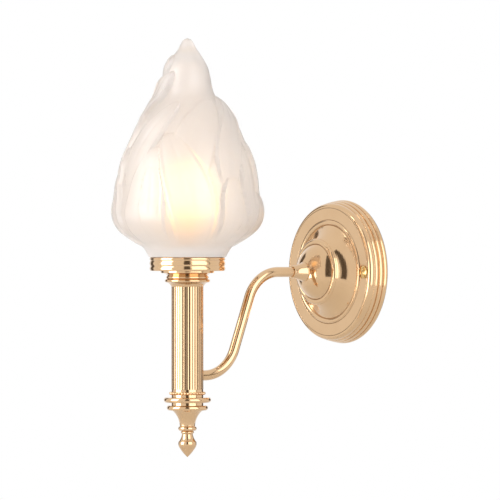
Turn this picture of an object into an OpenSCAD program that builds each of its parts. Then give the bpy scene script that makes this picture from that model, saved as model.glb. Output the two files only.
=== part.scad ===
// Torch wall light: a reeded brass torch with a flame of frosted glass, held out from a round wall plate
// by a swan-neck arm. Millimetres, +Z up. The wall is the plane Y = 0 and the light stands out towards -Y.
// The origin is on the wall, at the middle of the wall plate and of its fixing slots.

/* [Layout] */
// Distance from the wall to the torch's upright axis
torch_reach = 161; // [150:1:200]
// Height of the wall plate's centre above the arm's lower end
arm_rise = 84.4; // [76:0.2:92]
// Height of the top of the column below the wall plate's centre
column_top_drop = 11.6; // [8:0.1:16]

/* [Wall plate] */
// Outer radius of the plate at the wall
plate_r = 60.4; // [60:0.1:66]
// Depth of the plate, from the wall to its flat face
plate_depth = 17; // [16:0.5:22]
// Thickness of the spun sheet
plate_wall = 1.5; // [1:0.1:2]
// Ribs around the rim
rim_ribs = 4; // [3:1:6]
// Crown height of each rim rib
rim_crown = 0.8; // [0.3:0.1:1]
// Width of the rim, from its outer edge to the flat face
rim_w = 6.2; // [5:0.1:7]
// Radius of the raised ring's section
ring_bead_r = 1.9; // [1.4:0.1:2.2]
// Radius of the top of the cone that carries the dome
cone_top_r = 27.8; // [26:0.1:31]
// Height of the cone above the flat face
cone_rise = 12; // [9:0.2:15]
// Radius of the opening in the top of the cone
cone_hole_r = 10; // [8:0.5:14]

/* [Dome] */
// Radius of the dome's sphere
dome_sphere_r = 27.6; // [26.5:0.1:30]
// Radius of the dome at its foot
dome_foot_r = 23; // [21:0.1:24]
// Height of the rounded foot under the dome
dome_foot_h = 2.2; // [1.5:0.1:3]
// Thickness of the dome's sheet
dome_wall = 1.2; // [0.8:0.1:2]
// Radius of the ferrule where it stands on the dome
ferrule_base_r = 8.2; // [7:0.1:10]
// Radius of the ferrule at its nose
ferrule_nose_r = 5.5; // [5.2:0.1:6.5]
// Length of the ferrule
ferrule_len = 13; // [9:0.5:16]

/* [Arm] */
// Outer radius of the arm tube
arm_r = 4.25; // [4:0.05:4.8]
// Wall thickness of the arm tube
arm_wall = 1; // [0.8:0.1:1.3]
// Radius of both bends, at the tube's middle
arm_bend_r = 31; // [27:0.5:35]
// Angle that each bend turns through
arm_bend_angle = 70.4; // [64:0.2:76]
// Straight length from the torch's axis to the first bend
arm_foot_len = 17.7; // [16:0.1:24]

/* [Column] */
// Radius over the reeds
column_r = 13.06; // [12.9:0.02:14.5]
// Length of the reeded column
column_len = 83.7; // [82:0.1:90]
// Reeds around the column
reeds = 32; // [28:2:36]
// Bore radius of the column
column_bore_r = 10.9; // [10.4:0.1:11.2]

/* [Gallery] */
// Outer radius of the gallery that holds the shade
gallery_r = 31; // [30.9:0.1:34]
// Height of the gallery
gallery_h = 11; // [10:0.1:14]
// Wall thickness of the gallery
gallery_wall = 1.2; // [1:0.1:1.6]
// Crown height of the gallery's ribs
gallery_crown = 0.5; // [0.2:0.1:0.8]
// Depth of the stem under the gallery, down to the column
capital_h = 12.9; // [12:0.1:15]
// Radius of the stem's lower bead
capital_bead_r = 18.6; // [17.8:0.1:20]

/* [Base] */
// Height of the collar with the row of beads
collar_h = 6.6; // [5.5:0.1:8]
// Beads around the collar
beads = 34; // [28:1:34]
// Radius of one bead
bead_r = 1.22; // [1:0.02:1.22]
// Radius of the upper turned ring
upper_ring_r = 19.4; // [18:0.1:21]
// Height of the upper turned ring
upper_ring_h = 4.1; // [3:0.1:5]
// Height of the waist under the upper ring
waist_h = 2.6; // [2:0.1:4]
// Radius of the lower turned ring
lower_ring_r = 16.9; // [16:0.1:18]
// Height of the lower turned ring
lower_ring_h = 3.7; // [3:0.1:5]
// Height of the bell under the lower ring
bell_h = 13.4; // [12:0.1:15]
// Radius of the bell's narrow end
bell_neck_r = 6.3; // [5.8:0.1:7]
// Radius of the washer ring above the finial
washer_ring_r = 7.6; // [7:0.1:9]
// Height of the washer ring above the finial
washer_ring_h = 3.3; // [2.5:0.1:4]
// Length of the finial
finial_len = 21.8; // [20:0.1:25]
// Radius of the finial's bud
bud_r = 7.5; // [6.8:0.1:8.2]

/* [Glass shade] */
// Height of the flame above the gallery's rim
flame_h = 178.5; // [170:0.5:190]
// Extra radius of the whole flame, 0 for the shape as designed
flame_swell = 0; // [-2:0.1:3]
// Share of the tongues' designed relief
tongue_relief = 1; // [0.5:0.05:1.2]
// Thickness of the glass
glass_wall = 2.6; // [2:0.1:3.2]
// Outer radius of the neck that drops into the gallery
glass_neck_r = 28.3; // [27.6:0.1:28.4]
// Direction that the broad front leaf faces, seen from above
flame_turn = -35; // [-180:1:180]

/* [Lamp] */
// Radius of the lampholder's body
holder_r = 12; // [11:0.1:14]
// Height of the lampholder's body
holder_h = 26; // [24:0.5:30]
// Radius of the lamp's globe
globe_r = 22.5; // [20:0.5:24]
// Height of the globe's centre above the lamp's end contact
globe_h = 55; // [50:0.5:60]
// Radius of the lamp's screw cap
lamp_cap_r = 6.85; // [6.6:0.05:6.9]

/* [Fixings] */
// Radius of a cap nut's head
cap_nut_r = 5.3; // [4.6:0.05:5.3]
// Height of a cap nut's head
cap_nut_h = 2.4; // [1.8:0.1:3]
// Radius of the mounting screws
stud_r = 2; // [1.5:0.1:2.2]
// Thickness of the wall bracket
bracket_wall = 1.8; // [1.5:0.1:2.2]
// Width of the wall bracket's ends
bracket_w = 14; // [12:0.5:16]
// Distance between the wall-screw slots
slot_spacing = 50.8; // [46:0.2:52]
// Width of a wall-screw slot
slot_w = 4.4; // [4:0.1:5]
// Length of a wall-screw slot
slot_len = 9; // [7:0.1:10]
// Radius of the cable hole in the wall bracket
cable_hole_r = 6; // [5:0.1:7]
// Radius of the twisted lamp leads
lead_r = 1.6; // [1.2:0.05:1.8]

/* [Hidden] */

$fn = 64;
fit_gap = 0.05;       // running clearance of a thread
loose_gap = 0.3;      // clearance between pieces that turn or lift apart
eps = 0.01;
seam_w = 0.1;         // hair-line seams along the arm
seam_step = 0.01;

brass = "#d9b27a";
steel = "#b9bcc0";

// Heights down the torch, from the gallery's rim to the finial's tip.
column_top = -column_top_drop;
column_bottom = column_top - column_len;
capital_top = column_top + capital_h;
gallery_top = capital_top + gallery_h;
cup_floor = capital_top + gallery_wall;
collar_bottom = column_bottom - collar_h;
upper_ring_bottom = collar_bottom - upper_ring_h;
waist_bottom = upper_ring_bottom - waist_h;
lower_ring_bottom = waist_bottom - lower_ring_h;
bell_bottom = lower_ring_bottom - bell_h;
washer_ring_bottom = bell_bottom - washer_ring_h;

// Stack in front of the wall, as distances from it.
flat_r = plate_r - rim_w;
nut_clear = 0.1;                                        // between a cap nut and the rim, and the raised ring
cap_nut_offset = flat_r - nut_clear - cap_nut_r;
ring_r = cap_nut_offset - cap_nut_r - nut_clear - ring_bead_r;   // middle of the raised ring
cone_top_d = plate_depth + cone_rise;
dome_foot_d = cone_top_d + dome_foot_h;
dome_centre_d = dome_foot_d - sqrt(dome_sphere_r * dome_sphere_r - dome_foot_r * dome_foot_r);
ferrule_d = dome_centre_d + sqrt(dome_sphere_r * dome_sphere_r - ferrule_base_r * ferrule_base_r);

// Clamp behind the cone: a disc, a washer and a nut on the arm's threaded end.
clamp_disc_t = 2;
clamp_washer_t = 1;
clamp_nut_t = 5;
clamp_disc_d = cone_top_d - plate_wall - clamp_disc_t;
clamp_washer_d = clamp_disc_d - clamp_washer_t;
clamp_nut_d = clamp_washer_d - clamp_nut_t;
arm_end_d = clamp_nut_d - 2;

// Threads and rods inside the torch.
tie_r = 5;
tie_bore_r = 3.6;
tie_stud_r = 3;
block_half_h = 7;
spigot_h = 3;
holder_base_t = 4;
lead_turn_r = 4.5;
lead_tail_r = 9;

// Lamp heights.
holder_top = cup_floor + holder_h;
shell_r = lamp_cap_r + 0.08;
shell_wall = 0.5;
lamp_tip = cup_floor + 6;
lamp_cap_top = holder_top + 1.5;
globe_z = lamp_tip + globe_h;

// Screws and nuts on the bracket.
joggle = 3;
joggle_x = 35;
bracket_end_x = cap_nut_offset + 5.2;
bracket_plate_h = 24;
bracket_plate_x = 18;
screw_head_t = 2.4;
lock_nut_t = 3.2;
nut_barrel_r = 3.2;
nut_barrel_len = 7;
nut_skin = 0.8;
lock_nut_flats = 7;
screw_head_r = 3.6;
block_size = [24, 11, 12];
block_z = 11;
terminal_screw_r = 1.9;
wire_hole_r = 1.6;
wire_hole_depth = 4;
earth_z = -16;

// A point list along a shallow curve from p to q. At its middle it stands off the straight line by sag,
// to the right of the way from p to q.
function bow(p, q, sag, n = 8) =
    let (d = q - p, side = [d.y, -d.x] / norm(d))
    [for (i = [0:n]) let (t = i / n) p + d * t + side * sag * 4 * t * (1 - t)];

// Turned or spun shape: the outline holds [radius, height] points.
module turned(points) {
    rotate_extrude() polygon(points);
}

// Upright on the torch's axis.
module at_torch() {
    translate([0, -torch_reach, 0]) children();
}

// Turned about the plate's axis: local z is the distance from the wall.
module from_wall() {
    rotate([90, 0, 0]) children();
}

// Section of one rounded rib between two heights, with its crown at radius r.
module rib_section(r, z0, z1, crown, root) {
    half = (z1 - z0) / 2;
    round_r = (half * half + crown * crown) / (2 * crown);
    intersection() {
        translate([r - round_r, z0 + half]) circle(round_r);
        translate([root, z0]) square([r - root + eps, z1 - z0]);
    }
    translate([root, z0]) square([r - crown - root, z1 - z0]);
}

module hex_nut(across_flats, t, hole_r) {
    difference() {
        cylinder(r = across_flats / 2 / cos(30), h = t, $fn = 6);
        translate([0, 0, -1]) cylinder(r = hole_r, h = t + 2);
    }
}

// ---------------------------------------------------------------- wall bracket and plate

// Pressed steel strap: flat on the wall in the middle, with both ends joggled forward over the screw heads.
module wall_bracket() {
    t = bracket_wall;
    side = [[-bracket_end_x, joggle], [-joggle_x - joggle, joggle], [-joggle_x, 0],
            [joggle_x, 0], [joggle_x + joggle, joggle], [bracket_end_x, joggle]];
    color(steel) difference() {
        union() {
            intersection() {
                translate([0, 0, -bracket_w / 2]) linear_extrude(bracket_w)
                    polygon(concat([for (p = side) [p.x, -p.y]],
                                   [for (i = [len(side) - 1:-1:0]) [side[i].x, -side[i].y - t]]));
                from_wall() linear_extrude(joggle + t) union() {
                    square([2 * bracket_end_x - bracket_w, bracket_w], center = true);
                    for (x = [-1, 1]) translate([x * (bracket_end_x - bracket_w / 2), 0]) circle(bracket_w / 2);
                }
            }
            from_wall() linear_extrude(t)
                square([2 * bracket_plate_x, 2 * bracket_plate_h], center = true);
        }
        from_wall() translate([0, 0, -1]) {
            for (x = [-1, 1]) {
                translate([x * cap_nut_offset, 0]) cylinder(r = stud_r, h = joggle + t + 2);
                translate([x * slot_spacing / 2, 0]) linear_extrude(t + 2) union() {
                    square([slot_len - slot_w, slot_w], center = true);
                    for (e = [-1, 1]) translate([e * (slot_len - slot_w) / 2, 0]) circle(slot_w / 2);
                }
            }
            cylinder(r = cable_hole_r, h = t + 2);
            translate([0, earth_z]) cylinder(r = stud_r, h = t + 2);
        }
    }
}

// Two machine screws through the strap's ends, heads to the wall.
module bracket_screws() {
    head_d = joggle - screw_head_t;
    tip_d = plate_depth + cap_nut_h - nut_skin - 0.7;
    color(steel) for (x = [-1, 1]) from_wall() translate([x * cap_nut_offset, 0]) {
        translate([0, 0, head_d]) cylinder(r = screw_head_r, h = screw_head_t);
        translate([0, 0, joggle]) cylinder(r = stud_r, h = tip_d - joggle);
    }
}

module lock_nuts() {
    color(steel) for (x = [-1, 1]) from_wall() translate([x * cap_nut_offset, 0, joggle + bracket_wall])
        hex_nut(lock_nut_flats, lock_nut_t, stud_r);
}

// Spun plate: ribbed rim, flat face, raised ring and a hollow cone with a flat top.
module backplate() {
    inner_r = flat_r + 1.4;
    front_rib = 5.1;
    rib_h = (plate_depth - front_rib) / (rim_ribs - 1);
    ring_foot_r = ring_r - ring_bead_r;
    cone = bow([cone_top_r, cone_top_d], [ring_foot_r, plate_depth], 1.1, 10);
    color(brass) from_wall() difference() {
        union() {
            rotate_extrude() {
                // The rim leans out towards the wall, rib by rib.
                for (i = [0:rim_ribs - 2])
                    rib_section(plate_r - i * 0.6 - i * i * 0.11, i * rib_h, (i + 1) * rib_h, rim_crown, inner_r);
                intersection() {
                    translate([flat_r, plate_depth - 3.4]) circle(3.4);
                    translate([inner_r, plate_depth - 3.4]) square(4);
                }
                translate([inner_r, plate_depth - front_rib]) square([flat_r + 3.4 - inner_r, front_rib - 3.4]);
                translate([ring_foot_r, plate_depth - plate_wall])
                    square([inner_r - ring_foot_r, plate_wall]);
                intersection() {
                    translate([ring_r, plate_depth]) circle(ring_bead_r);
                    translate([ring_foot_r, plate_depth - 1]) square(2 * ring_bead_r);
                }
            }
            turned(concat([[cone_hole_r, cone_top_d]], cone,
                          [[ring_r, plate_depth], [ring_r, plate_depth - plate_wall]],
                          [for (i = [len(cone) - 1:-1:0]) cone[i] - [0, plate_wall]],
                          [[cone_hole_r, cone_top_d - plate_wall]]));
        }
        for (x = [-1, 1]) translate([x * cap_nut_offset, 0, 1])
            cylinder(r = nut_barrel_r + loose_gap, h = plate_depth + 4);
    }
}

// Cap nut: a low domed head on a barrel that reaches through the plate to the screw.
module cap_nut(x) {
    round_r = (cap_nut_r * cap_nut_r + 1.4 * 1.4) / (2 * 1.4);
    color("#d8b060") from_wall() translate([x, 0, plate_depth + fit_gap]) difference() {
        rotate_extrude() {
            square([cap_nut_r, cap_nut_h - 1.4]);
            intersection() {
                translate([0, cap_nut_h - round_r]) circle(round_r);
                translate([0, cap_nut_h - 1.4 - eps]) square([cap_nut_r, 1.4 + eps]);
            }
            translate([0, -nut_barrel_len]) square([nut_barrel_r, nut_barrel_len]);
        }
        translate([0, 0, -nut_barrel_len - 1])
            cylinder(r = stud_r + fit_gap, h = nut_barrel_len + 1 + cap_nut_h - nut_skin);
    }
}

module cap_nut_left() {
    cap_nut(-cap_nut_offset);
}

module cap_nut_right() {
    cap_nut(cap_nut_offset);
}

// ---------------------------------------------------------------- dome, clamp and arm

// Spun dome on a rounded foot that seats on the cone's flat top.
module dome_cap() {
    color(brass) from_wall() rotate_extrude() {
        difference() {
            intersection() {
                translate([0, dome_centre_d]) circle(dome_sphere_r);
                translate([arm_r, dome_foot_d - eps]) square([dome_foot_r, dome_sphere_r]);
            }
            translate([0, dome_centre_d]) circle(dome_sphere_r - dome_wall);
        }
        polygon(concat([[dome_foot_r - 2 * dome_wall, cone_top_d]],
                       bow([cone_top_r, cone_top_d], [dome_foot_r, dome_foot_d], 1.1, 8),
                       [[dome_foot_r - 2 * dome_wall, dome_foot_d]]));
    }
}

module clamp_disc() {
    color(steel) from_wall() translate([0, 0, clamp_disc_d]) difference() {
        cylinder(r = cone_hole_r + 8, h = clamp_disc_t);
        translate([0, 0, -1]) cylinder(r = arm_r, h = clamp_disc_t + 2);
    }
}

module clamp_washer() {
    color(steel) from_wall() translate([0, 0, clamp_washer_d]) difference() {
        cylinder(r = arm_r + 4, h = clamp_washer_t);
        translate([0, 0, -1]) cylinder(r = arm_r, h = clamp_washer_t + 2);
    }
}

module clamp_nut() {
    color(brass) from_wall() translate([0, 0, clamp_nut_d]) hex_nut(2 * arm_r + 5, clamp_nut_t, arm_r);
}

// Turned ferrule, soldered on the arm, that stands on the dome.
module arm_ferrule() {
    nose_d = ferrule_d + ferrule_len;
    // The foot follows the dome's sphere; a small flat at the nose gives way to the cone.
    color(brass) from_wall() rotate_extrude() difference() {
        polygon(concat([[arm_r, ferrule_d], [ferrule_base_r, ferrule_d], [ferrule_base_r, ferrule_d + 1]],
                       bow([ferrule_base_r - 0.4, ferrule_d + 1.5], [ferrule_nose_r, nose_d - 0.5], -0.5, 8),
                       [[ferrule_nose_r - 0.4, nose_d], [arm_r, nose_d]]));
        translate([0, dome_centre_d]) circle(dome_sphere_r);
    }
}

// Lengths along the arm: out of the column, up through the first bend, straight, back through the second.
bend_run = arm_bend_r * sin(arm_bend_angle);
bend_climb = arm_bend_r * (1 - cos(arm_bend_angle));
arm_slope_len = (arm_rise - 2 * bend_climb) / sin(arm_bend_angle);
arm_top_start = arm_foot_len + 2 * bend_run + arm_slope_len * cos(arm_bend_angle);

// A round bar along the arm's line. It starts at foot_start from the torch's axis and ends end_d from the
// wall. A hair-line seam, where the slope meets each bend, joins the stretches into one solid.
module arm_run(r, foot_start, end_d) {
    at_torch() translate([0, 0, -arm_rise]) {
        translate([0, foot_start, 0]) rotate([-90, 0, 0]) cylinder(r = r, h = arm_foot_len - foot_start);
        translate([0, arm_foot_len, arm_bend_r]) rotate([0, 90, 0])
            rotate_extrude(angle = arm_bend_angle) translate([arm_bend_r, 0]) circle(r);
        translate([0, arm_foot_len + bend_run, bend_climb]) rotate([arm_bend_angle - 90, 0, 0]) {
            cylinder(r = r, h = arm_slope_len);
            for (seam_z = [0, arm_slope_len])
                translate([0, 0, seam_z - seam_w / 2]) cylinder(r = r + seam_step, h = seam_w);
        }
        translate([0, arm_top_start, arm_rise - arm_bend_r]) rotate([0, -90, 0])
            rotate_extrude(angle = -arm_bend_angle) translate([arm_bend_r, 0]) circle(r);
        translate([0, arm_top_start, arm_rise]) rotate([-90, 0, 0])
            cylinder(r = r, h = torch_reach - end_d - arm_top_start);
    }
}

arm_foot_start = 4;

module arm_tube() {
    color(brass) difference() {
        arm_run(arm_r, arm_foot_start, arm_end_d);
        arm_run(arm_r - arm_wall, arm_foot_start - 1, arm_end_d - 1);
    }
}

// ---------------------------------------------------------------- torch: column, block and rods

// Brass block inside the column. The arm enters from the side, the rods from above and below.
module arm_block() {
    color(brass) at_torch() translate([0, 0, -arm_rise]) difference() {
        translate([0, 0, -block_half_h]) cylinder(r = column_bore_r, h = 2 * block_half_h);
        translate([0, arm_foot_start, 0]) rotate([-90, 0, 0]) cylinder(r = arm_r, h = column_r);
        rotate([-90, 0, 0]) cylinder(r = arm_r - arm_wall, h = arm_foot_start + 1);
        translate([0, 0, -2.6]) cylinder(r = tie_bore_r, h = block_half_h + 4);
        translate([0, 0, block_half_h - 2.6]) cylinder(r = tie_r, h = 4);
        translate([0, 0, -block_half_h - 1]) cylinder(r = tie_stud_r, h = 5);
    }
}

// Column: a tube with half-round reeds all round and a hole for the arm near its foot.
module column() {
    pitch_r = column_r / (1 + PI / reeds * 1.02);
    reed_r = column_r - pitch_r;
    color(brass) at_torch() difference() {
        translate([0, 0, column_bottom]) linear_extrude(column_len) difference() {
            union() {
                circle(pitch_r + 0.2);
                for (i = [0:reeds - 1]) rotate(i * 360 / reeds) translate([pitch_r, 0]) circle(reed_r);
            }
            circle(column_bore_r);
        }
        translate([0, 0, -arm_rise]) rotate([-90, 0, 0]) cylinder(r = arm_r, h = column_r + 2);
    }
}

// Hollow threaded rod from the block up into the lampholder.
module tie_tube() {
    foot = -arm_rise + block_half_h - 2.6;
    color(steel) at_torch() translate([0, 0, foot]) difference() {
        cylinder(r = tie_r, h = cup_floor + holder_base_t - 1 - foot);
        translate([0, 0, -1]) cylinder(r = tie_bore_r, h = cup_floor + holder_base_t + 2 - foot);
    }
}

// Solid threaded rod from the block down into the finial.
tie_stud_top = -arm_rise - block_half_h + 4;
tie_stud_bottom = washer_ring_bottom - 9;
module tie_stud() {
    color(steel) at_torch() translate([0, 0, tie_stud_bottom])
        cylinder(r = tie_stud_r, h = tie_stud_top - tie_stud_bottom);
}

// Stem between gallery and column: a cove, two beads and a second cove, with a spigot into the column.
module capital() {
    bead_h = 2.8;
    bead_top = capital_top - 3.9;
    bead_bottom = bead_top - 2 * bead_h;
    upper_bead_r = capital_bead_r - 1.1;
    color(brass) at_torch() {
        turned(concat([[tie_r, capital_top], [capital_bead_r + 3.5, capital_top],
                       [capital_bead_r + 3.2, capital_top - 1.7]],
                      bow([capital_bead_r + 2.4, capital_top - 1.9], [upper_bead_r - 0.9, bead_top], 0.6, 6),
                      [[upper_bead_r - 3, bead_top], [upper_bead_r - 3, bead_bottom]],
                      bow([capital_bead_r - 1.8, bead_bottom], [column_r + 0.2, column_top], 0.5, 6),
                      [[column_bore_r, column_top], [column_bore_r, column_top - spigot_h],
                       [tie_r, column_top - spigot_h]]));
        rotate_extrude() rib_section(upper_bead_r, bead_top - bead_h, bead_top, 0.9, tie_r + 2);
        rotate_extrude() rib_section(capital_bead_r, bead_bottom, bead_top - bead_h, 1.1, tie_r + 2);
    }
}

// Gallery: a cup with three ribs, open to the top, that the shade's ring screws into.
module gallery_cup() {
    bore_r = gallery_r - gallery_wall;
    heights = [0, 0.345, 0.76, 1] * gallery_h;
    color(brass) at_torch() rotate_extrude() difference() {
        union() {
            for (i = [0:2])
                rib_section(gallery_r, capital_top + heights[i], capital_top + heights[i + 1],
                            gallery_crown, tie_r);
        }
        translate([0, cup_floor]) square([bore_r, gallery_h]);
        translate([0, capital_top - 1]) square([tie_r, gallery_h]);
    }
}

// ---------------------------------------------------------------- torch: turned base

module base_collar() {
    shoulder_r = column_r;
    color(brass) at_torch() {
        turned([[tie_stud_r, collar_bottom], [shoulder_r, collar_bottom], [shoulder_r, column_bottom],
                [column_bore_r, column_bottom], [column_bore_r, column_bottom + spigot_h],
                [tie_stud_r, column_bottom + spigot_h]]);
        for (i = [0:beads - 1]) rotate(i * 360 / beads)
            translate([shoulder_r + 0.7, 0, column_bottom - collar_h / 2]) sphere(bead_r);
    }
}

module base_flange() {
    waist_r = 13.1;
    color(brass) at_torch() rotate_extrude() difference() {
        union() {
            rib_section(upper_ring_r, upper_ring_bottom, collar_bottom, 1.2, 0);
            translate([0, waist_bottom]) square([waist_r, waist_h]);
        }
        translate([0, waist_bottom - 1]) square([tie_stud_r, upper_ring_h + waist_h + 2]);
    }
}

// Lower ring and bell: a hollow-sided cone down to the narrow neck.
module bell_cup() {
    bell_top_r = lower_ring_r - 2.8;
    sweep_r = 16.8;
    color(brass) at_torch() rotate_extrude() difference() {
        union() {
            rib_section(lower_ring_r, lower_ring_bottom, waist_bottom, 0.9, 0);
            difference() {
                translate([0, bell_bottom]) square([bell_top_r, bell_h]);
                translate([bell_neck_r + sweep_r, bell_bottom]) circle(sweep_r);
            }
        }
        translate([0, bell_bottom - 1]) square([tie_stud_r, bell_h + lower_ring_h + 2]);
    }
}

module washer_ring() {
    color(brass) at_torch() rotate_extrude() difference() {
        rib_section(washer_ring_r, washer_ring_bottom, bell_bottom, 0.8, 0);
        translate([0, washer_ring_bottom - 1]) square([tie_stud_r, washer_ring_h + 2]);
    }
}

// Finial: a small bead, a short neck and a pointed bud, threaded on the rod.
module finial() {
    top = washer_ring_bottom;
    neck_z = top - 2.8;
    shoulder_z = top - 9.2;
    belly_z = top - 12.6;
    tip_z = top - finial_len;
    neck_r = bud_r * 0.6;
    color(brass) at_torch() rotate_extrude() difference() {
        polygon(concat([[0, top]], bow([neck_r, top], [neck_r, neck_z], -0.9, 8),
                       bow([neck_r, neck_z - 0.4], [bud_r - 0.1, shoulder_z], 0.5, 8),
                       bow([bud_r, shoulder_z - 0.6], [bud_r - 0.2, belly_z], -0.1, 4),
                       bow([bud_r - 0.3, belly_z - 0.3], [0, tip_z], -0.5, 8)));
        translate([0, tie_stud_bottom]) square([tie_stud_r, 40]);
    }
}

// ---------------------------------------------------------------- lampholder and lamp

module lampholder_body() {
    base_top = cup_floor + holder_base_t;
    color("#e9e6dd") at_torch() difference() {
        translate([0, 0, cup_floor]) cylinder(r = holder_r, h = holder_h);
        translate([0, 0, base_top]) cylinder(r = shell_r + shell_wall, h = holder_h);
        translate([0, 0, cup_floor - 1]) cylinder(r = tie_r, h = holder_base_t);
    }
}

module lampholder_shell() {
    foot = lamp_tip + 3;
    color(brass) at_torch() translate([0, 0, foot]) difference() {
        cylinder(r = shell_r + shell_wall, h = holder_top - foot - 0.5);
        translate([0, 0, -1]) cylinder(r = shell_r, h = holder_h);
    }
}

// Sprung centre contact: a disc on the holder's base with a raised tongue.
module lampholder_contact() {
    base_top = cup_floor + holder_base_t;
    color(brass) at_torch() translate([0, 0, base_top]) {
        cylinder(r = 4.6, h = 0.6);
        cylinder(r = 1.8, h = lamp_tip - base_top - fit_gap);
    }
}

// Golf-ball lamp: a hollow globe that flows into its neck.
module bulb_glass() {
    neck_r = lamp_cap_r - 0.05;
    t = 1;
    throat = lamp_cap_top;
    shoulder = bow([neck_r, throat], [globe_r * 0.62, globe_z - globe_r * 0.785], -1.2, 8);
    color("#fff3dc") at_torch() difference() {
        union() {
            translate([0, 0, globe_z]) sphere(globe_r);
            turned(concat([[0, throat]], shoulder, [[0, globe_z]]));
        }
        translate([0, 0, globe_z]) sphere(globe_r - t);
        turned(concat([[0, throat + t]], [for (p = shoulder) p + [-t, 0.6 * t]], [[0, globe_z]]));
    }
}

module bulb_cap() {
    color(steel) at_torch() difference() {
        turned([[2.6, lamp_tip + 1.2], [4.2, lamp_tip + 1.2], [lamp_cap_r - 0.4, lamp_tip + 3.6],
                [lamp_cap_r, lamp_tip + 4.2], [lamp_cap_r, lamp_cap_top], [2.6, lamp_cap_top]]);
        translate([0, 0, lamp_tip + 6]) cylinder(r = lamp_cap_r - 0.6, h = lamp_cap_top - lamp_tip - 7);
    }
}

module bulb_contact() {
    color(brass) at_torch() turned([[0, lamp_tip], [1.6, lamp_tip], [2.6, lamp_tip + 0.8],
                                    [2.6, lamp_tip + 4], [0, lamp_tip + 4]]);
}

// ---------------------------------------------------------------- glass flame

flame_foot = gallery_top + loose_gap;      // where the glass comes out over the gallery's rim
neck_foot = cup_floor + 1.3;               // lower end of the neck, standing on the seal
neck_inner_r = glass_neck_r - glass_wall - 0.4;
neck_top_h = 0.045;                        // share of the flame's height where the neck's solid ends
neck_top_z = flame_foot + neck_top_h * flame_h;
shade_ring_h = 6.5;
flame_sides = 96;
flame_rows = 44;
inner_rows = 14;
inner_top = 0.92;                          // share of the flame's height that is hollow
tip_bore_r = 0.8;                          // narrowest radius of the hollow
frosted = [0.96, 0.94, 0.9, 0.8];

// The valleys between the tongues: [share of the flame's height, radius].
valley_profile = [[0, 31.4], [0.025, 34], [0.043, 36.2], [0.06, 40.6], [0.078, 45.4], [0.114, 53.4],
                  [0.151, 57.8], [0.187, 59.4], [0.224, 59.3], [0.279, 57.2], [0.352, 55.4], [0.425, 52.6],
                  [0.498, 47.8], [0.535, 44.6], [0.59, 40], [0.635, 35.4], [0.699, 27.4], [0.736, 22.8],
                  [0.772, 20.4], [0.827, 18.6], [0.864, 16.8], [0.9, 13.6], [0.93, 10.2], [0.955, 7.1],
                  [0.975, 5.4], [0.99, 3.7], [0.997, 2.1], [1, 0]];

// Glass tongues: [angle and height of the foot, angle and height of the tip, hook, half-width, relief].
// Heights are shares of the flame's height. A hook of 1 leans straight; above 1 it turns over near the tip.
front_tongues = [
    [6, 0.06, -19.5, 0.56, 2.4, 21.5, 6.2],
    [-46, 0.06, -29.5, 0.50, 1.4, 16, 4],
    [-29, 0.07, -29.5, 0.43, 1.2, 12, 5.2],
    [-54, 0.32, -18, 0.705, 2.4, 13, 5.4],
    [4, 0.34, 38, 0.72, 3, 19, 4.6],
    [38, 0.33, 82, 0.735, 2.4, 14, 7.4],
    [37, 0.06, 39, 0.37, 1, 11.5, 5.4],
    [62, 0.13, 58, 0.54, 1.5, 10, 4.4]];
side_tongues = [
    [78, 0.05, 78, 0.295, 1, 15, 4.6],
    [92, 0.20, 88, 0.545, 1, 14, 4.6],
    [88, 0.44, 90, 0.655, 1, 11, 3.6],
    [-78, 0.05, -86, 0.39, 1, 18, 4.8],
    [-86, 0.22, -82, 0.52, 1, 13, 4],
    [-96, 0.36, -76, 0.72, 1.6, 14, 4.4],
    [-84, 0.56, -40, 0.845, 2.5, 10, 8.4],
    [-88, 0.80, -76, 0.925, 1, 8.5, 4.5]];

// The front's tongues come again half a turn on at the back; those of the sides don't.
back_tongues = [for (t = front_tongues) [t[0] + 180, t[1], t[2] + 180, t[3], t[4], t[5], t[6]]];
tongues = concat(front_tongues, back_tongues, side_tongues);

// Smooth curve through the points of a [key, value] list.
function smooth_lookup(x, list) =
    let (i = max([for (k = [0:len(list) - 2]) if (list[k][0] <= x || k == 0) k]),
         a = list[max(i - 1, 0)], b = list[i], c = list[i + 1], d = list[min(i + 2, len(list) - 1)],
         span = c[0] - b[0], t = (x - b[0]) / span,
         m0 = i == 0 ? (c[1] - b[1]) / span : (c[1] - a[1]) / (c[0] - a[0]),
         m1 = i == len(list) - 2 ? (c[1] - b[1]) / span : (d[1] - b[1]) / (d[0] - b[0]))
    (1 + 2 * t) * pow(1 - t, 2) * b[1] + t * pow(1 - t, 2) * span * m0
    + t * t * (3 - 2 * t) * c[1] + t * t * (t - 1) * span * m1;

function valley_r(h) = max(0, smooth_lookup(h, valley_profile) + flame_swell * min(1, 8 * h * (1 - h)));
function wrapped(a) = a - 360 * round(a / 360);
function leaf_width(t) = t < 0.45 ? 0.6 + 0.4 * sin(200 * t) : sqrt(cos(90 * (t - 0.45) / 0.55));

// How far one tongue stands out of a valley of radius r, at an angle and a share of the height.
// Its surface is nearly flat with a raised lip along its edges, where it drops to the valley.
function tongue_rise(tongue, angle, h, r) =
    let (t = (h - tongue[1]) / (tongue[3] - tongue[1]),
         middle = tongue[0] + (tongue[2] - tongue[0]) * pow(t, tongue[4]),
         across = abs(wrapped(angle - middle)) * PI / 180 * r / (tongue[5] * leaf_width(t)))
    across >= 1 ? 0 :
    let (lip = 0.2 * exp(-pow((across - 0.84) / 0.1, 2)))
    tongue[6] * sqrt(t * (1 - pow(t, 8))) * (0.84 + lip) * sqrt(1 - pow(across, 5));

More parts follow.
